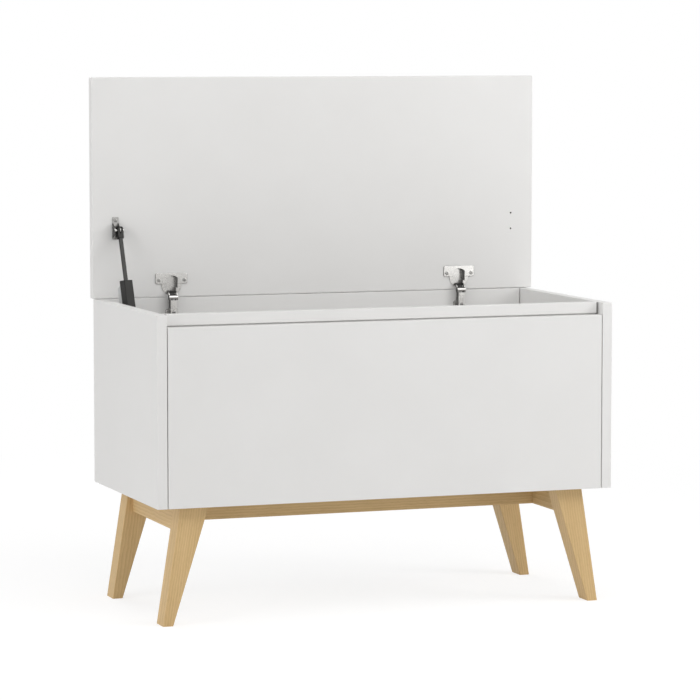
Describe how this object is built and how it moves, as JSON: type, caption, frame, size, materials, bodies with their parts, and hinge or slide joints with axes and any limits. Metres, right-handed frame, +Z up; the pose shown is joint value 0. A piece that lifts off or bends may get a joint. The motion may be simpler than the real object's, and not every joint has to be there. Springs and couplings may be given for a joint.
{
  "type": "storage bench",
  "caption": "Low storage bench: white panel chest with a hinged lid that stands open on concealed hinges and a damped lid stay, on a light wood frame with splayed tapered legs.",
  "frame": {"origin": "on the floor, under the middle of the bench", "axes": "+Z up, front faces -Y, +X to the right seen from the front"},
  "size_m": [0.852, 0.394, 0.9312],
  "materials": {
    "white_lacquer": "satin white lacquer on fibreboard",
    "light_oak": "clear matt on light oak",
    "beech": "plain",
    "zinc_steel": "zinc plated",
    "nickel": "nickel plated",
    "dark_plastic": "fine moulded texture",
    "grey_steel": "dark grey coat"
  },
  "bodies": {
    "hinge_outer_links": {"hinge_left_outer_link": "nickel", "hinge_right_outer_link": "nickel"},
    "hinge_inner_links": {"hinge_left_inner_link": "grey_steel", "hinge_right_inner_link": "grey_steel"},
    "stay_crank": {"stay_spindle": "nickel", "stay_crank": "grey_steel", "stay_crank_pin": "nickel"},
    "stay_arm": {"stay_arm_plate": "zinc_steel", "stay_arm_cover": "dark_plastic", "stay_rod": "grey_steel", "stay_rod_end": "dark_plastic"},
    "lid": {"lid_panel": "white_lacquer", "stay_lid_bracket": "nickel", "stay_lid_pin": "nickel", "stay_bracket_screws": "nickel", "hinge_left_cup": "nickel", "hinge_left_cup_pins": "nickel", "hinge_left_cup_screws": "nickel", "hinge_right_cup": "nickel", "hinge_right_cup_pins": "nickel", "hinge_right_cup_screws": "nickel"},
    "carcass": {"back_panel": "white_lacquer", "front_panel": "white_lacquer", "front_rail": "white_lacquer", "bottom_panel": "white_lacquer", "long_stretcher": "light_oak", "panel_dowels": "beech", "cam_locks": "zinc_steel", "cam_bolts": "zinc_steel", "front_panel_screws": "zinc_steel", "leg_dowels": "beech", "stretcher_dowels": "beech", "frame_screws": "zinc_steel", "stay_damper": "dark_plastic", "stay_damper_screws": "zinc_steel", "left_side_panel": "white_lacquer", "left_side_stretcher": "light_oak", "front_left_leg": "light_oak", "rear_left_leg": "light_oak", "right_side_panel": "white_lacquer", "right_side_stretcher": "light_oak", "front_right_leg": "light_oak", "rear_right_leg": "light_oak", "hinge_left_arm": "nickel", "hinge_left_mounting_plate": "nickel", "hinge_left_arm_pins": "nickel", "hinge_left_screws": "nickel", "hinge_right_arm": "nickel", "hinge_right_mounting_plate": "nickel", "hinge_right_arm_pins": "nickel", "hinge_right_screws": "nickel"}
  },
  "joints": [
    {"name": "outer_link_swing", "type": "hinge", "parent": "carcass", "child": "hinge_outer_links", "pos_m": [0, 0.16978, 0.53578], "axis": [1, 0, 0], "range_deg": [-22.09, 0]},
    {"name": "lid_swing", "type": "hinge", "parent": "hinge_outer_links", "child": "lid", "pos_m": [0, 0.1835, 0.5459], "axis": [1, 0, 0], "range_deg": [0, 112.08]},
    {"name": "inner_link_swing", "type": "hinge", "parent": "carcass", "child": "hinge_inner_links", "pos_m": [0, 0.17308, 0.5382], "axis": [1, 0, 0], "range_deg": [-4.86, 0]},
    {"name": "stay_crank_swing", "type": "hinge", "parent": "carcass", "child": "stay_crank", "pos_m": [0, 0.09614, 0.33343], "axis": [1, 0, 0], "range_deg": [0, 90.01]},
    {"name": "stay_arm_swing", "type": "hinge", "parent": "stay_crank", "child": "stay_arm", "pos_m": [0, 0.07829, 0.44728], "axis": [1, 0, 0], "range_deg": [-90.01, 0]}
  ],
  "couplings": [
    {"joint": "outer_link_swing", "follows": "lid_swing", "ratio": -0.19702},
    {"joint": "inner_link_swing", "follows": "lid_swing", "ratio": -0.043268},
    {"joint": "stay_crank_swing", "follows": "lid_swing", "ratio": 0.80298},
    {"joint": "stay_arm_swing", "follows": "lid_swing", "ratio": -0.80298}
  ]
}
